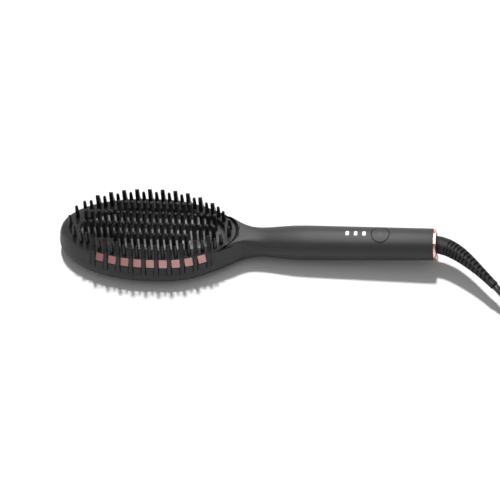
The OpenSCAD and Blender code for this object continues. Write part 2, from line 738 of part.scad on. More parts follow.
module swivel_spindle() {
    color([0.07, 0.07, 0.075])
    along_axis(ring_x + 2.6 - spindle_l) {
        cylinder(h = spindle_l - 2.4, r = spindle_r, $fn = 64);
        translate([0, 0, spindle_l - 8.2]) cylinder(h = 5.8, r = flange_r, $fn = 64);
        translate([0, 0, 9.4]) cylinder(h = 1.4, r = 6, $fn = 64);
    }
}
contact_places = [3, 6.5];
contact_r = spindle_r + 0.7;
module contact_rings() {
    color([0.78, 0.5, 0.25])
    along_axis(ring_x + 2.6 - spindle_l) for (d = contact_places) translate([0, 0, d - 0.8])
        rotate_extrude($fn = 64)
            polygon([[spindle_r, 0], [contact_r, 0], [contact_r, 1.6], [spindle_r, 1.6]]);
}
module contact_leaves() {
    color([0.85, 0.7, 0.4])
    on_axis(ring_x + 2.6 - spindle_l) for (k = [0, 1]) {
        side = 2 * k - 1;
        translate([contact_places[k] - 0.6, side * (contact_r + 0.5) - 0.2, -3])
            cube([1.2, 0.4, 6]);
        translate([-6.4, side * (contact_r + 0.5) - 0.2, 1.8])
            cube([contact_places[k] + 7, 0.4, 1.2]);
    }
}

// ---- strain relief and cord ----
exit_x = ring_x + 0.2;
relief_exit = [exit_x, 0, axis_z(exit_x)];
relief_dir = [cos(handle_rise), 0, sin(handle_rise)];
relief_end = [196.6, -35.8, 15.6];
// The relief leaves the ring on the swivel's axis and bends in an even curve towards the viewer
relief_curve = [relief_exit, relief_exit + 15 * relief_dir, [177.8, -16.3, 18.4], relief_end];
function bezier(p, t) =
    pow(1 - t, 3) * p[0] + 3 * pow(1 - t, 2) * t * p[1] + 3 * (1 - t) * t * t * p[2] + pow(t, 3) * p[3];
function bezier_dir(p, t) =
    unit(pow(1 - t, 2) * (p[1] - p[0]) + 2 * (1 - t) * t * (p[2] - p[1]) + t * t * (p[3] - p[2]));
relief_base_r = 7.1;
relief_tip_r = 3.4;
relief_sides = 16;
slot_count = 13;
slots_from = 0.23;
slots_to = 0.94;
slot_depth = 1.2;
// Radius of the relief at t: a full base, then a taper to the collar round the cord
function relief_r(t) = mix(relief_base_r, relief_tip_r, smooth(t * 0.55 + 0.45 * t * t));
// Slots in four rows round the relief, a spine between them: even rows lie in a pitch's
// first half and odd rows in its second. Each stop is [t, even rows cut, odd rows cut].
pitch_stops = [[0, 0, 0], [0.07, 1, 0], [0.43, 1, 0], [0.5, 0, 0], [0.57, 0, 1], [0.93, 0, 1]];
relief_stops = concat(
    [[0, 0, 0], [0.06, 0, 0], [0.12, 0, 0]],
    [for (k = [0:slot_count - 1], d = pitch_stops)
        [mix(slots_from, slots_to, (k + d[0]) / slot_count), d[1], d[2]]],
    [[slots_to, 0, 0], [0.97, 0, 0], [1, 0, 0]]
);
// One spine faces the viewer and two lie along the silhouette
slot_turn = -16;
function slot_cut(stop, k) =
    k % 4 == 2 ? 0 : floor(((k + 2) % relief_sides) / 4) % 2 == 0 ? stop[1] : stop[2];
function relief_ring(stop) =
    let (c = bezier(relief_curve, stop[0]), d = bezier_dir(relief_curve, stop[0]),
         b = unit(cross(d, [0, 0, 1])), u = cross(d, b))
    [for (k = [0:relief_sides - 1]) let (a = slot_turn + 360 * k / relief_sides)
        c + (relief_r(stop[0]) - slot_depth * slot_cut(stop, k)) * (cos(a) * b + sin(a) * u)];
module strain_relief() {
    color([0.06, 0.06, 0.065]) tube_rings([for (stop = relief_stops) relief_ring(stop)]);
}

cord_r = cord_d / 2;
tie_t = 0.6;
coil_z0 = tie_t + cord_r * cos(30);
// The cord runs on from the relief, comes down to the surface and turns into the coil
cord_route = [
    relief_end, [199.3, -38.6, 15.1], [202.1, -41.5, 14.2], [204.9, -44.4, 12.8], [207.6, -47.3, 11],
    [210.4, -50.2, 8.9], [213.1, -53.1, 6.8], [215.8, -56, 5], [218.6, -59, 3.7], [221.4, -61.9, 3.1],
    [223.4, -64.1, coil_z0], [225.4, -66.3, coil_z0], [227.4, -68.4, coil_z0]
];
coil_start = 225;
coil_in_dir = [-sin(coil_start), cos(coil_start), 0];
coil_out_dir = [cos(coil_start), sin(coil_start), 0];
coil_join = cord_route[len(cord_route) - 1];
coil_centre = [coil_join[0], coil_join[1], 0] + cord_d * coil_in_dir - coil_r * coil_out_dir;
turn_pitch = cord_d + 0.45;
coil_layers = 4;
turns = layer_turns * coil_layers + 0.25;
coil_steps = 24;
// Radius and height after s turns: in and out again in layers, climbing where the spiral turns back
function coil_wave(s) = let (q = s / (2 * layer_turns), f = q - floor(q)) 1 - abs(2 * f - 1);
function coil_radius(s) =
    coil_r - turn_pitch * layer_turns * (s > layer_turns * coil_layers ? 0 : coil_wave(s));
function coil_height(s) =
    coil_z0 + turn_pitch * [for (k = [1:coil_layers]) smooth((s - k * layer_turns + 0.25) / 0.5)]
        * [for (k = [1:coil_layers]) 1];
function coil_point(s) =
    coil_centre + [coil_radius(s) * cos(coil_start + 360 * s), coil_radius(s) * sin(coil_start + 360 * s),
                   coil_height(s)];
// The end of the cord turns in over the coil and up to the plug that lies on it
plug_half_h = 7.2;
plug_z = coil_z0 + turn_pitch * (coil_layers - 1) + cord_r + plug_half_h + 0.2;
end_angle = coil_start + 360 * turns;
arc_r = 24;
arc_centre = coil_centre + (coil_r - arc_r) * [cos(end_angle), sin(end_angle), 0];
arc_steps = 7;
function arc_point(k) =
    arc_centre + arc_r * [cos(end_angle + 90 * k / arc_steps), sin(end_angle + 90 * k / arc_steps), 0]
        + [0, 0, mix(coil_height(turns), plug_z, smooth(k / arc_steps))];
plug_dir = [-cos(end_angle), -sin(end_angle), 0];
coil_path = concat(
    [coil_point(0) - cord_d * coil_in_dir],
    [for (k = [0:coil_steps * turns]) coil_point(k / coil_steps)],
    [for (k = [1:arc_steps]) arc_point(k)],
    [arc_point(arc_steps) + cord_d * plug_dir]
);
function route_length(p) = [for (i = [1:len(p) - 1]) norm(p[i] - p[i - 1])] * [for (i = [1:len(p) - 1]) 1];
// The least distance between centre lines of turns that aren't neighbours along the cord
function coil_gap(p, skip) = min([for (i = [0:2:len(p) - 1]) min([for (j = [0:len(p) - 1])
    if (abs(i - j) > skip) norm(p[i] - p[j])])]) - cord_d;
echo(cord_length = 60 + route_length(cord_route) + route_length(coil_path),
     least_gap = coil_gap(coil_path, coil_steps / 2));

module cord() {
    color([0.05, 0.05, 0.055]) tube(cord_route, cord_r, 10);
}
module cord_coil() {
    color([0.05, 0.05, 0.055]) tube(coil_path, cord_r, 6);
}

tie_w = 9;
tie_angle = 118;
module cord_tie() {
    inner = coil_r - layer_turns * turn_pitch - cord_r - 0.5;
    outer = coil_r + cord_r + 0.5;
    high = coil_z0 + turn_pitch * (coil_layers - 1) + cord_r + 0.4;
    color([0.1, 0.1, 0.1])
    translate(coil_centre) rotate([90, 0, tie_angle]) translate([0, 0, -tie_w / 2]) linear_extrude(tie_w)
        difference() {
            translate([inner - tie_t, 0]) square([outer - inner + 2 * tie_t, high + tie_t]);
            translate([inner, tie_t]) square([outer - inner, high - tie_t]);
        }
}

plug_l = 34;
plug_w = 24;
plug_start = arc_point(arc_steps) + cord_d * plug_dir;
module at_plug() {
    translate(plug_start) rotate([0, 0, end_angle + 180]) children();
}
module plug_body() {
    color([0.05, 0.05, 0.055])
    at_plug() {
        rotate([0, 90, 0]) cylinder(h = 12, r1 = 4, r2 = 5.6, $fn = 32);
        translate([11.9, 0, 0]) rotate([0, 90, 0]) linear_extrude(plug_l - 11.9)
            intersection() {
                square([2 * plug_half_h, plug_w], center = true);
                circle(r = plug_w / 2, $fn = 48);
            }
    }
}
blade = [17.5, 1.5, 6.3];
blade_gap = 12.7;
module plug_blades() {
    color("gold") at_plug() for (side = [-1, 1])
        translate([plug_l, side * blade_gap / 2 - blade[1] / 2, -blade[2] / 2]) cube(blade);
}

front_shell();
back_shell();
fin_row_near();
fin_row_far();
edge_bristles_near();
edge_bristles_far();
tip_bristles();
heel_bristles();
bristle_row_1();
bristle_row_2();
bristle_row_3();
bristle_row_4();
heated_plate();
heat_pins_1();
heat_pins_2();
heat_pins_3();
heat_pins_4();
well_frame();
heat_strip_near();
heat_strip_far();
heater_bars();
clamp_plate();
mica_sheet();
clamp_screws();
thermistor();
thermal_fuse();
terminal_block();
heater_leads();
main_board();
board_parts();
indicator_leds();
light_windows();
switch_body();
power_button();
switch_plunger();
board_screws();
end_ring();
end_cap();
swivel_bush();
contact_leaves();
swivel_spindle();
contact_rings();
strain_relief();
cord();
cord_coil();
cord_tie();
plug_body();
plug_blades();
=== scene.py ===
"""Looks of a heated hair-straightening brush lying on its back, with its cord put away beside it."""
import json
import math

import bpy
from mathutils import Matrix, Vector


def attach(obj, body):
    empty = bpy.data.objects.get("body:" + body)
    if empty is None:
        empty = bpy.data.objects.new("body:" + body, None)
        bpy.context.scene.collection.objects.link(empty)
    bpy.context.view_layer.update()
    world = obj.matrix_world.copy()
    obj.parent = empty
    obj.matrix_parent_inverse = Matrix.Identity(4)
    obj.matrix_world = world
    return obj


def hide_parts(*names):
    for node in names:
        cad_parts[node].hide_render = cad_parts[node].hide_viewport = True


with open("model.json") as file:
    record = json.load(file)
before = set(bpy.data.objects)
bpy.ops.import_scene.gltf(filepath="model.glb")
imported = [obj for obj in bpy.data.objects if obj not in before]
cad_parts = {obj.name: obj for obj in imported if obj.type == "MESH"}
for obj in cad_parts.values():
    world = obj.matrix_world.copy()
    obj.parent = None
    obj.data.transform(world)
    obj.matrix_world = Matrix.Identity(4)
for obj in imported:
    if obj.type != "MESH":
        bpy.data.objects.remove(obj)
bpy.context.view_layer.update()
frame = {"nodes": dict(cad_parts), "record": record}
MM = 0.001
UP = Vector((0, 0, 1))

# ---- camera: a long lens from above and in front, rolled a little ----
CAMERA_AZIMUTH = math.radians(8.565)
CAMERA_ELEVATION = math.radians(52.679)
CAMERA_ROLL = math.radians(4.5)
CAMERA_DISTANCE = 2.388
CAMERA_TARGET = Vector((0.4 * MM, 0, 0))
CAMERA_AIM = (1.023 * MM, 0.807 * MM)
CAMERA_CLIP_END = 20
SENSOR_MM = 36
LENS_MM = 216


def make_camera():
    right = Vector((math.cos(CAMERA_AZIMUTH), math.sin(CAMERA_AZIMUTH), 0))
    back = Vector((math.sin(CAMERA_AZIMUTH) * math.cos(CAMERA_ELEVATION),
                   -math.cos(CAMERA_AZIMUTH) * math.cos(CAMERA_ELEVATION),
                   math.sin(CAMERA_ELEVATION)))
    up = back.cross(right)
    rolled_right = right * math.cos(CAMERA_ROLL) - up * math.sin(CAMERA_ROLL)
    rolled_up = right * math.sin(CAMERA_ROLL) + up * math.cos(CAMERA_ROLL)
    place = (CAMERA_TARGET + back * CAMERA_DISTANCE
             + rolled_right * CAMERA_AIM[0] + rolled_up * CAMERA_AIM[1])
    camera = bpy.data.objects.new("camera", bpy.data.cameras.new("camera"))
    camera.matrix_world = Matrix((
        (rolled_right.x, rolled_up.x, back.x, place.x),
        (rolled_right.y, rolled_up.y, back.y, place.y),
        (rolled_right.z, rolled_up.z, back.z, place.z),
        (0, 0, 0, 1),
    ))
    camera.data.lens = LENS_MM
    camera.data.sensor_width = SENSOR_MM
    camera.data.clip_end = CAMERA_CLIP_END
    bpy.context.scene.collection.objects.link(camera)
    bpy.context.scene.camera = camera


make_camera()
bpy.context.scene.view_settings.view_transform = "Standard"

# ---- power cord: out of the strain relief, down to the surface and into a coil, in millimetres ----
CORD_R = 2.75
CORD_SIDES = 20
TIE_T = 0.6
# the CAD's coil has six sides and lies with a flat on the tie's strap
COIL_Z = TIE_T + CORD_R * math.cos(math.radians(30))
COIL_R = 40
COIL_START = 225
COIL_STEPS = 24
LAYERS = 4
LAYER_TURNS = 3
EXTRA_TURN = 0.25
CLIMB_TURNS = 0.5
TURN_PITCH = 2 * CORD_R + 0.45
ARC_R = 24
ARC_STEPS = 7
PLUG_HALF_H = 7.2
PLUG_GAP = 0.2
CORD_ROUTE = [
    (196.6, -35.8, 15.6), (199.3, -38.6, 15.1), (202.1, -41.5, 14.2), (204.9, -44.4, 12.8),
    (207.6, -47.3, 11), (210.4, -50.2, 8.9), (213.1, -53.1, 6.8), (215.8, -56, 5), (218.6, -59, 3.7),
    (221.4, -61.9, 3.1), (223.4, -64.1, COIL_Z), (225.4, -66.3, COIL_Z), (227.4, -68.4, COIL_Z),
]


def smooth(t):
    t = min(1.0, max(0.0, t))
    return t * t * (3 - 2 * t)


def round_dir(degrees):
    return Vector((math.cos(math.radians(degrees)), math.sin(math.radians(degrees)), 0))


def coil_points():
    """The route on from the cord's last point: piled turns in and out, then a rise to the plug on top."""
    piled_turns = LAYER_TURNS * LAYERS
    turns = piled_turns + EXTRA_TURN
    out = round_dir(COIL_START)
    ahead = round_dir(COIL_START + 90)
    centre = Vector(CORD_ROUTE[-1]) - COIL_Z * UP + 2 * CORD_R * ahead - COIL_R * out

    def place(turn):
        wave = turn / (2 * LAYER_TURNS)
        inward = 0 if turn > piled_turns else 1 - abs(2 * (wave - math.floor(wave)) - 1)
        climbs = sum(smooth((turn - k * LAYER_TURNS + CLIMB_TURNS / 2) / CLIMB_TURNS)
                     for k in range(1, LAYERS + 1))
        radius = COIL_R - TURN_PITCH * LAYER_TURNS * inward
        height = COIL_Z + TURN_PITCH * climbs
        return centre + radius * round_dir(COIL_START + 360 * turn) + height * UP

    points = [place(k / COIL_STEPS) for k in range(int(COIL_STEPS * turns) + 1)]
    end_angle = COIL_START + 360 * turns
    low = points[-1].z
    high = COIL_Z + TURN_PITCH * (LAYERS - 1) + CORD_R + PLUG_HALF_H + PLUG_GAP
    arc_centre = centre + (COIL_R - ARC_R) * round_dir(end_angle)
    for k in range(1, ARC_STEPS + 1):
        spot = arc_centre + ARC_R * round_dir(end_angle + 90 * k / ARC_STEPS)
        points.append(spot + (low + (high - low) * smooth(k / ARC_STEPS)) * UP)
    points.append(points[-1] - 2 * CORD_R * round_dir(end_angle))
    return points


def tube_mesh(name, points, radius, sides):
    """A round tube along points, closed at both ends, with flat caps."""
    rings = []
    for i, point in enumerate(points):
        ahead = (points[min(i + 1, len(points) - 1)] - points[max(i - 1, 0)]).normalized()
        side = ahead.cross(UP).normalized()
        up = side.cross(ahead)
        rings.append([point + radius * (math.cos(a) * side + math.sin(a) * up)
                      for a in (2 * math.pi * k / sides for k in range(sides))])
    faces = [tuple(reversed(range(sides))),
             tuple((len(rings) - 1) * sides + k for k in range(sides))]
    for i in range(len(rings) - 1):
        for k in range(sides):
            j = (k + 1) % sides
            faces.append((i * sides + k, i * sides + j, (i + 1) * sides + j, (i + 1) * sides + k))
    mesh = bpy.data.meshes.new(name)
    mesh.from_pydata([p for ring in rings for p in ring], [], faces)
    for face in mesh.polygons[2:]:
        face.use_smooth = True
    return mesh


def make_cord():
    points = [Vector(p) * MM for p in CORD_ROUTE + coil_points()]
    mesh = tube_mesh("power_cord", points, CORD_R * MM, CORD_SIDES)
    cord = bpy.data.objects.new("power_cord", mesh)
    bpy.context.scene.collection.objects.link(cord)
    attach(cord, "cord_swivel")
    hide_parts("cord", "cord_coil")
    return cord


power_cord = make_cord()

# ---- material helpers; noise scales are per metre, and place_mm gives the CAD's own measures ----
PLASTIC_TONE = (0.93, 1.07)
METAL_TONE = (0.95, 1.03)
METAL_GLOSS = (0.8, 1.25)
TONE_RAMP = (0.3, 0.7)
TONE_SCALE = {"plastic": 35, "metal": 60}
WEAR_SCALE = 140
BUMP_DEPTH = 0.05 * MM
WHITE = (1, 1, 1, 1)


def principled(name, color, roughness, metallic=0.0, specular=0.5):
    material = bpy.data.materials.new(name)
    material.use_nodes = True
    shader = shader_of(material)
    shader.inputs["Base Color"].default_value = (*color, 1)
    shader.inputs["Roughness"].default_value = roughness
    shader.inputs["Metallic"].default_value = metallic
    shader.inputs["Specular IOR Level"].default_value = specular
    return material


def shader_of(material):
    return material.node_tree.nodes["Principled BSDF"]


def noise(material, scale, detail, stretch=(1, 1, 1)):
    nodes, links = material.node_tree.nodes, material.node_tree.links
    place = nodes.new("ShaderNodeTexCoord")
    mapping = nodes.new("ShaderNodeMapping")
    mapping.inputs["Scale"].default_value = stretch
    texture = nodes.new("ShaderNodeTexNoise")
    texture.inputs["Scale"].default_value = scale
    texture.inputs["Detail"].default_value = detail
    links.new(place.outputs["Object"], mapping.inputs["Vector"])
    links.new(mapping.outputs["Vector"], texture.inputs["Vector"])
    return texture.outputs["Fac"]


def remapped(material, value, ends_from=(0, 1), ends_to=(0, 1)):
    node = material.node_tree.nodes.new("ShaderNodeMapRange")
    node.inputs["From Min"].default_value, node.inputs["From Max"].default_value = ends_from
    node.inputs["To Min"].default_value, node.inputs["To Max"].default_value = ends_to
    material.node_tree.links.new(value, node.inputs["Value"])
    return node.outputs["Result"]


def tinted(material, fac, dark, light):
    ramp = material.node_tree.nodes.new("ShaderNodeValToRGB")
    for element, position, color in zip(ramp.color_ramp.elements, TONE_RAMP, (dark, light)):
        element.position = position
        element.color = (*color, 1)
    material.node_tree.links.new(fac, ramp.inputs["Fac"])
    material.node_tree.links.new(ramp.outputs["Color"], shader_of(material).inputs["Base Color"])


def glossed(material, fac, low, high):
    """Roughness between low and high."""
    material.node_tree.links.new(remapped(material, fac, ends_to=(low, high)),
                                 shader_of(material).inputs["Roughness"])


def bumped(material, fac, strength):
    bump = material.node_tree.nodes.new("ShaderNodeBump")
    bump.inputs["Strength"].default_value = strength
    bump.inputs["Distance"].default_value = BUMP_DEPTH
    material.node_tree.links.new(fac, bump.inputs["Height"])
    material.node_tree.links.new(bump.outputs["Normal"], shader_of(material).inputs["Normal"])


def toned(color, shares):
    return [tuple(min(1, c * share) for c in color) for share in shares]


def moulded(name, color, roughness, grain=2500, strength=0.25, spread=0.06, specular=0.5):
    """Moulded plastic or rubber: a fine eroded grain, and colour and gloss that vary a little."""
    material = principled(name, color, roughness, specular=specular)
    tinted(material, noise(material, TONE_SCALE["plastic"], 2), *toned(color, PLASTIC_TONE))
    glossed(material, noise(material, WEAR_SCALE, 4), roughness - spread, roughness + spread)
    bumped(material, noise(material, grain, 2), strength)
    return material


def metal(name, color, roughness, stretch=(1, 1, 1), scale=900, strength=0.12):
    """Metal with fine streaks, which are shortest along the largest number of stretch."""
    material = principled(name, color, roughness, metallic=1.0)
    streaks = noise(material, scale, 4, stretch)
    glossed(material, streaks, roughness * METAL_GLOSS[0], roughness * METAL_GLOSS[1])
    tinted(material, noise(material, TONE_SCALE["metal"], 2), *toned(color, METAL_TONE))
    bumped(material, streaks, strength)
    return material


def calc(material, operation, a, b=0.0):
    node = material.node_tree.nodes.new("ShaderNodeMath")
    node.operation = operation
    for socket, value in zip(node.inputs, (a, b)):
        if isinstance(value, (int, float)):
            socket.default_value = value
        else:
            material.node_tree.links.new(value, socket)
    return node.outputs["Value"]


def place_mm(material):
    """The place on the brush as separate x, y and z in millimetres."""
    nodes, links = material.node_tree.nodes, material.node_tree.links
    split = nodes.new("ShaderNodeSeparateXYZ")
    links.new(nodes.new("ShaderNodeTexCoord").outputs["Object"], split.inputs[0])
    return [calc(material, "MULTIPLY", split.outputs[k], 1 / MM) for k in range(3)]


def repeated(material, value, first, pitch):
    """How far value is from the nearest of the places first, first + pitch and so on."""
    wrapped = calc(material, "WRAP", calc(material, "SUBTRACT", value, first), pitch / 2)
    wrapped.node.inputs[2].default_value = -pitch / 2
    return calc(material, "ABSOLUTE", wrapped)


def squares(material, a, b):
    """a squared plus b squared."""
    return calc(material, "ADD", calc(material, "MULTIPLY", a, a), calc(material, "MULTIPLY", b, b))


def band(material, value, low, high, soft=0.05):
    """1 where value lies between low and high, with soft edges outside them."""
    middle, half = (low + high) / 2, (high - low) / 2
    away = calc(material, "ABSOLUTE", calc(material, "SUBTRACT", value, middle))
    return remapped(material, away, ends_from=(half + soft, half))


def joined(material, operation, *masks):
    """MULTIPLY keeps where all masks are 1, and MAXIMUM where any of them is."""
    mask = masks[0]
    for other in masks[1:]:
        mask = calc(material, operation, mask, other)
    return mask


def shaded(material, mask, factor):
    """Turns the base colour down to a share of itself, or up, where the mask is 1."""
    nodes, links = material.node_tree.nodes, material.node_tree.links
    base = shader_of(material).inputs["Base Color"]
    mix = nodes.new("ShaderNodeMixRGB")
    mix.blend_type = "MULTIPLY"
    mix.inputs["Color2"].default_value = (*factor, 1)
    links.new(base.links[0].from_socket, mix.inputs["Color1"])
    links.new(mask, mix.inputs["Fac"])
    links.new(mix.outputs["Color"], base)


def dulled(material, mask, specular):
    """Takes the shine down to specular where the mask is 1."""
    level = shader_of(material).inputs["Specular IOR Level"]
    material.node_tree.links.new(remapped(material, mask, ends_to=(level.default_value, specular)), level)


# ---- shell, button and fins: one soft-touch plastic, with painted shade in its slots, groove and gaps ----
SHELL_COLOR = (0.034, 0.034, 0.0345)
SHELL_SPECULAR = 0.34
SHELL_ROUGHNESS = 0.47
# painted shade in the slots, groove and gaps: its share of the colour, and its shine
GAP_SHADE = (0.15, 0.15, 0.15)
GAP_SPECULAR = 0.1

# the slots on both sides of every fin, with painted shade in them: how far from its middle, and where on
# the bevel
FIRST_FIN_X = -119.9
FIN_PITCH = 10.2
SLOT_FROM_FIN = (1.5, 1.95)
SLOT_X = (-122, -26)
SLOT_SIDE = (24, 40)
SLOT_Z = (12.7, 22.9)

# the groove inside the lip, with painted shade in it: the well is an ellipse, and 1 is its edge
WIDE_X = -77.6
WELL_RADII = (71.3, 32.9)
GROOVE_OUT = (0.88, 1.02)
GROOVE_ALONG = (0.84, 1.02)
GROOVE_Z = (22.6, 23.7)

# the button, its gap with painted shade, and a faint ring with a bar in its opening
BUTTON_X = 105.52
BUTTON_R = 7
BUTTON_RIM = 0.15
BUTTON_GAP = 0.35
BUTTON_TOP_Z = (20, 40)
HANDLE_TOP_Z = (18, 40)
MARK_RING = (1.5, 1.75)
MARK_OPENING = ((-3, 0), (-0.6, 0.6))
MARK_BAR = ((-2.1, -0.5), (-0.12, 0.12))
MARK_LIFT = (2.2, 2.2, 2.2)

# the fins turn from the shell's grey to black from this height up
FIN_BLACK_Z = (26.5, 60)
FIN_BLACK = (0.35, 0.35, 0.35)
FIN_BLACK_SPECULAR = 0.2


def shell_plastic(name):
    return moulded(name, SHELL_COLOR, SHELL_ROUGHNESS, specular=SHELL_SPECULAR)


def away_from_button(material, x, y):
    return calc(material, "SQRT", squares(material, calc(material, "SUBTRACT", x, BUTTON_X), y))


# where shade is painted in the slots by the fins
def slot_shade_mask(material, x, y, z):
    from_fin = repeated(material, x, FIRST_FIN_X, FIN_PITCH)
    return joined(material, "MULTIPLY",
                  band(material, from_fin, *SLOT_FROM_FIN, 0.45),
                  band(material, z, *SLOT_Z, 0.5),
                  band(material, x, *SLOT_X),
                  band(material, calc(material, "ABSOLUTE", y), *SLOT_SIDE))


# where shade is painted in the groove inside the lip
def groove_shade_mask(material, x, y, z):
    along = calc(material, "DIVIDE", calc(material, "SUBTRACT", x, WIDE_X), WELL_RADII[0])
    across = calc(material, "DIVIDE", y, WELL_RADII[1])
    return joined(material, "MULTIPLY",
                  band(material, z, *GROOVE_Z, 0.2),
                  band(material, squares(material, along, across), *GROOVE_OUT),
                  band(material, along, *GROOVE_ALONG, 0.12))


# where shade is painted on the shell around the button's gap
def button_gap_shade_mask(material, x, y, z):
    return joined(material, "MULTIPLY",
                  band(material, away_from_button(material, x, y), BUTTON_R, BUTTON_R + BUTTON_GAP, 0.2),
                  band(material, z, *HANDLE_TOP_Z))


def shell_material():
    """Soft-touch shell, with painted shade in the slots by the fins, in the groove and in the button's
    gap.
    """
    material = shell_plastic("shell_grey")
    place = place_mm(material)
    shade = joined(material, "MAXIMUM",
                   *(mask(material, *place) for mask in (slot_shade_mask, groove_shade_mask, button_gap_shade_mask)))
    shaded(material, shade, GAP_SHADE)
    dulled(material, shade, GAP_SPECULAR)
    return material


def button_material():
    """The shell's plastic with painted shade along its rim in the gap and a faint ring and bar in the
    middle.
    """
    material = shell_plastic("button_grey")
    x, y, z = place_mm(material)
    away = away_from_button(material, x, y)
    # painted shade along the button's edge, where the gap shades it
    painted_rim_shade = band(material, away, BUTTON_R - BUTTON_RIM, BUTTON_R + 1, 0.2)
    shaded(material, painted_rim_shade, GAP_SHADE)
    ahead = calc(material, "SUBTRACT", x, BUTTON_X)
    opening = joined(material, "MULTIPLY",
                     band(material, y, *MARK_OPENING[1], 0.1), band(material, ahead, *MARK_OPENING[0]))
    ring = joined(material, "MULTIPLY",
                  band(material, away, *MARK_RING, 0.1), calc(material, "SUBTRACT", 1, opening))
    bar = joined(material, "MULTIPLY",
                 band(material, y, *MARK_BAR[1], 0.1), band(material, ahead, *MARK_BAR[0], 0.1))
    mark = joined(material, "MULTIPLY",
                  joined(material, "MAXIMUM", ring, bar), band(material, z, *BUTTON_TOP_Z))
    shaded(material, mark, MARK_LIFT)
    dulled(material, painted_rim_shade, GAP_SPECULAR)
    return material


def fin_material():
    """The shell's plastic at a fin's foot, black towards its tip."""
    material = shell_plastic("fin_grey")
    black = band(material, place_mm(material)[2], *FIN_BLACK_Z, 3)
    shaded(material, black, FIN_BLACK)
    dulled(material, black, FIN_BLACK_SPECULAR)
    return material


# ---- light windows: a lit core with rounded corners in each smoked window ----
LIGHT_X = 86.23
LIGHT_PITCH = 6.6
LIGHT_HALF = (1.35, 2.05)
LIGHT_SQUARENESS = 5
LIGHT_FLICKER = (0.95, 1.05)


def light_window_material():
    material = principled("lit_window", (0.08, 0.08, 0.08), 0.4)
    x, y, _ = place_mm(material)
    away = (repeated(material, x, LIGHT_X, LIGHT_PITCH), calc(material, "ABSOLUTE", y))
    reach = [calc(material, "POWER", calc(material, "DIVIDE", value, half), LIGHT_SQUARENESS)
             for value, half in zip(away, LIGHT_HALF)]
    core = band(material, joined(material, "ADD", *reach), 0, 0.8, 0.25)
    unevenness = remapped(material, noise(material, 400, 2), ends_to=LIGHT_FLICKER)
    glow = calc(material, "MULTIPLY", core, unevenness)
    shader = shader_of(material)
    material.node_tree.links.new(glow, shader.inputs["Emission Strength"])
    shader.inputs["Emission Color"].default_value = WHITE
    return material


# ---- heated plate and heat strips, with painted shade that changes along the head ----
# each end of the plate with painted shade: x, y, how soft the edges in x and in y are, and its share of
# the colour
PLATE_SHADE_PATCHES = [
    ((-167.6, -101.6), (-40, -4), (6, 4), 0.3),
    ((-41.6, 12.4), (-40, 40), (8, 4), 0.45),
    ((-25.6, 12.4), (-40, 40), (8, 4), 0.3),
]
# painted shade on the heat strips: the x where it starts and where it is full, and its share of the
# colour
STRIP_SHADE_SPAN_X = (-65, -125)
STRIP_SHADE_SHARE = (0.5, 0.38, 0.4)


def plate_material():
    """Satin plate with streaks along it, with painted shade at its heel and at the near side of its tip.
    """
    material = metal("plate_satin", (0.8, 0.8, 0.81), 0.45, (1, 12, 1))
    x, y, _ = place_mm(material)
    for span_x, span_y, soft, share in PLATE_SHADE_PATCHES:
        # painted shade over this end of the plate
        end = joined(material, "MULTIPLY",
                     band(material, x, *span_x, soft[0]), band(material, y, *span_y, soft[1]))
        shaded(material, end, (share, share, share))
    return material


def rose_strip_material():
    """Rose-gold strip, with painted shade that deepens towards the head's tip."""
    material = metal("rose_gold_strip", (0.50, 0.27, 0.26), 0.32, (1, 1, 8))
    shaded(material, remapped(material, place_mm(material)[0], ends_from=STRIP_SHADE_SPAN_X), STRIP_SHADE_SHARE)
    return material


# ---- one material for each material slot of the record, and own ones for a few nodes ----
MATERIALS = {
    "shell": shell_material(),
    "bristle": moulded("bristle_black", (0.007, 0.007, 0.0075), 0.4, 1800, 0.1, specular=0.4),
    "hot_plate": plate_material(),
    "hot_pin": moulded("pin_coating", (0.010, 0.010, 0.0105), 0.36, 1500, 0.08, specular=0.4),
    "rose_gold": metal("rose_gold_polish", (0.86, 0.52, 0.46), 0.22, (1, 1, 8)),
    "inner_plastic": moulded("inner_plastic", (0.02, 0.02, 0.021), 0.5),
    "ceramic": moulded("ceramic", (0.72, 0.69, 0.62), 0.55),
    "steel": metal("zinc_plate", (0.6, 0.6, 0.6), 0.35),
    "lead_wire": moulded("silicone_sleeve", (0.45, 0.05, 0.035), 0.45),
    "board": moulded("solder_mask", (0.02, 0.16, 0.06), 0.3),
    "led": moulded("led_body", (0.82, 0.84, 0.86), 0.3),
    "light_window": light_window_material(),
    "nylon": moulded("natural_nylon", (0.74, 0.73, 0.68), 0.5),
    "contact": metal("contact_brass", (0.78, 0.6, 0.32), 0.25),
    "relief": moulded("relief_rubber", (0.012, 0.012, 0.0125), 0.5, 1500, specular=0.3),
    "cord": moulded("cord_sheath", (0.014, 0.014, 0.0145), 0.36, 1200),
    "tie": moulded("strap_weave", (0.02, 0.02, 0.022), 0.7, 900, 0.6),
    "plug": moulded("plug_black", (0.016, 0.016, 0.017), 0.4),
}
OWN_MATERIALS = {
    "power_button": button_material(),
    "heat_strip_near": rose_strip_material(),
    "fin_row_near": fin_material(),
}
OWN_MATERIALS["heat_strip_far"] = OWN_MATERIALS["heat_strip_near"]
OWN_MATERIALS["fin_row_far"] = OWN_MATERIALS["fin_row_near"]


def dress_nodes():
    slot_of = {s["node"]: s["material_slot"] for s in frame["record"]["subparts"]}
    for name, node in frame["nodes"].items():
        for slot in node.material_slots:
            slot.link = "OBJECT"
            slot.material = OWN_MATERIALS.get(name, MATERIALS[slot_of[name]])
    power_cord.data.materials.append(MATERIALS["cord"])


dress_nodes()

# ---- smooth shading on the CAD's curved forms, whose edges stay crisp above an angle ----
CRISP_DEGREES = 32
MERGE_DISTANCE = 0.000002


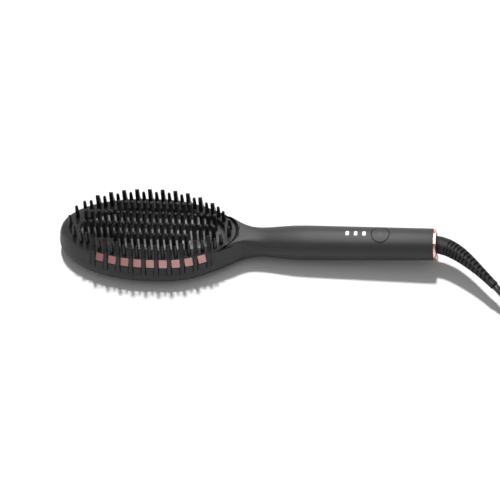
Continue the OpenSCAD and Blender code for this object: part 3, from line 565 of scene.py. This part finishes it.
def smoothing_group():
    tree = bpy.data.node_groups.new("smooth", "GeometryNodeTree")
    for way in ("INPUT", "OUTPUT"):
        tree.interface.new_socket("Geometry", in_out=way, socket_type="NodeSocketGeometry")
    start = tree.nodes.new("NodeGroupInput")
    end = tree.nodes.new("NodeGroupOutput")
    merge = tree.nodes.new("GeometryNodeMergeByDistance")
    merge.inputs["Distance"].default_value = MERGE_DISTANCE
    faces = tree.nodes.new("GeometryNodeSetShadeSmooth")
    edges = tree.nodes.new("GeometryNodeSetShadeSmooth")
    edges.domain = "EDGE"
    bend = tree.nodes.new("GeometryNodeInputMeshEdgeAngle")
    gentle = tree.nodes.new("FunctionNodeCompare")
    gentle.operation = "LESS_EQUAL"
    gentle.inputs[1].default_value = math.radians(CRISP_DEGREES)
    tree.links.new(bend.outputs["Unsigned Angle"], gentle.inputs[0])
    tree.links.new(start.outputs[0], merge.inputs["Geometry"])
    tree.links.new(merge.outputs["Geometry"], faces.inputs["Geometry"])
    tree.links.new(faces.outputs["Geometry"], edges.inputs["Geometry"])
    tree.links.new(gentle.outputs["Result"], edges.inputs["Shade Smooth"])
    tree.links.new(edges.outputs["Geometry"], end.inputs[0])
    return tree


def smooth_nodes():
    group = smoothing_group()
    for node in frame["nodes"].values():
        if not node.hide_render:
            node.modifiers.new("smooth", "NODES").node_group = group


smooth_nodes()

# ---- studio: white floor, one key light high behind the brush, soft fill from all round ----
FLOOR_SIZE = 6
FLOOR_TONES = ((0.915, 0.915, 0.915), (0.925, 0.925, 0.925))
KEY_DIRECTION = Vector((-0.065, 0.584, 1)).normalized()
KEY_STRENGTH = 3.6
KEY_ANGLE = math.radians(6)
FILL = 0.28
# what the world shows in reflections: white up to the first height, and the ceiling from the second
CEILING = 0.16
CEILING_HEIGHTS = (0.15, 0.7)
# panels that show in reflections only: centre in mm, elevation, distance, size and radiance
PANELS = {
    "over_handle": ((62, 0, 16), 80, 0.25, (0.14, 0.36), 7.2),
    "over_all": ((0, 0, 20), 65, 1.5, (1.6, 0.5), 0.6),
}


def make_floor():
    mesh = bpy.data.meshes.new("floor")
    half = FLOOR_SIZE / 2
    corners = [(-half, -half, 0), (half, -half, 0), (half, half, 0), (-half, half, 0)]
    mesh.from_pydata(corners, [], [(0, 1, 2, 3)])
    floor = bpy.data.objects.new("floor", mesh)
    bpy.context.scene.collection.objects.link(floor)
    material = principled("floor_white", (0.92, 0.92, 0.92), 0.7)
    tinted(material, noise(material, 3, 2), *FLOOR_TONES)
    mesh.materials.append(material)


def make_key():
    key = bpy.data.objects.new("key", bpy.data.lights.new("key", "SUN"))
    key.data.energy = KEY_STRENGTH
    key.data.angle = KEY_ANGLE
    key.rotation_euler = KEY_DIRECTION.to_track_quat("Z", "Y").to_euler()
    key.visible_glossy = False
    bpy.context.scene.collection.objects.link(key)


def make_panels():
    """The broad soft highlight along the handle comes from panels above and behind it."""
    for name, (centre, elevation, distance, size, radiance) in PANELS.items():
        towards = Vector((0, math.cos(math.radians(elevation)), math.sin(math.radians(elevation))))
        panel = bpy.data.objects.new(name, bpy.data.lights.new(name, "AREA"))
        panel.data.shape = "RECTANGLE"
        panel.data.size, panel.data.size_y = size
        panel.data.energy = radiance * math.pi * size[0] * size[1]
        panel.location = Vector(centre) * MM + towards * distance
        panel.rotation_euler = towards.to_track_quat("Z", "Y").to_euler()
        panel.visible_diffuse = False
        panel.visible_camera = False
        bpy.context.scene.collection.objects.link(panel)


def make_world():
    """White for the camera, a room with a dim ceiling in reflections, and a plain fill for the rest."""
    world = bpy.data.worlds.new("studio")
    world.use_nodes = True
    nodes, links = world.node_tree.nodes, world.node_tree.links
    direction = nodes.new("ShaderNodeSeparateXYZ")
    links.new(nodes.new("ShaderNodeTexCoord").outputs["Generated"], direction.inputs[0])
    room = remapped(world, direction.outputs["Z"], CEILING_HEIGHTS, (1, CEILING))
    path = nodes.new("ShaderNodeLightPath")
    mirrored = calc(world, "MAXIMUM", path.outputs["Is Glossy Ray"], path.outputs["Is Transmission Ray"])
    strength = FILL
    for chosen, value in ((mirrored, room), (path.outputs["Is Camera Ray"], 1)):
        mix = nodes.new("ShaderNodeMix")
        links.new(chosen, mix.inputs["Factor"])
        for socket, item in ((mix.inputs["A"], strength), (mix.inputs["B"], value)):
            if isinstance(item, (int, float)):
                socket.default_value = item
            else:
                links.new(item, socket)
        strength = mix.outputs["Result"]
    links.new(strength, nodes["Background"].inputs["Strength"])
    nodes["Background"].inputs["Color"].default_value = WHITE
    bpy.context.scene.world = world


make_floor()
make_key()
make_panels()
make_world()
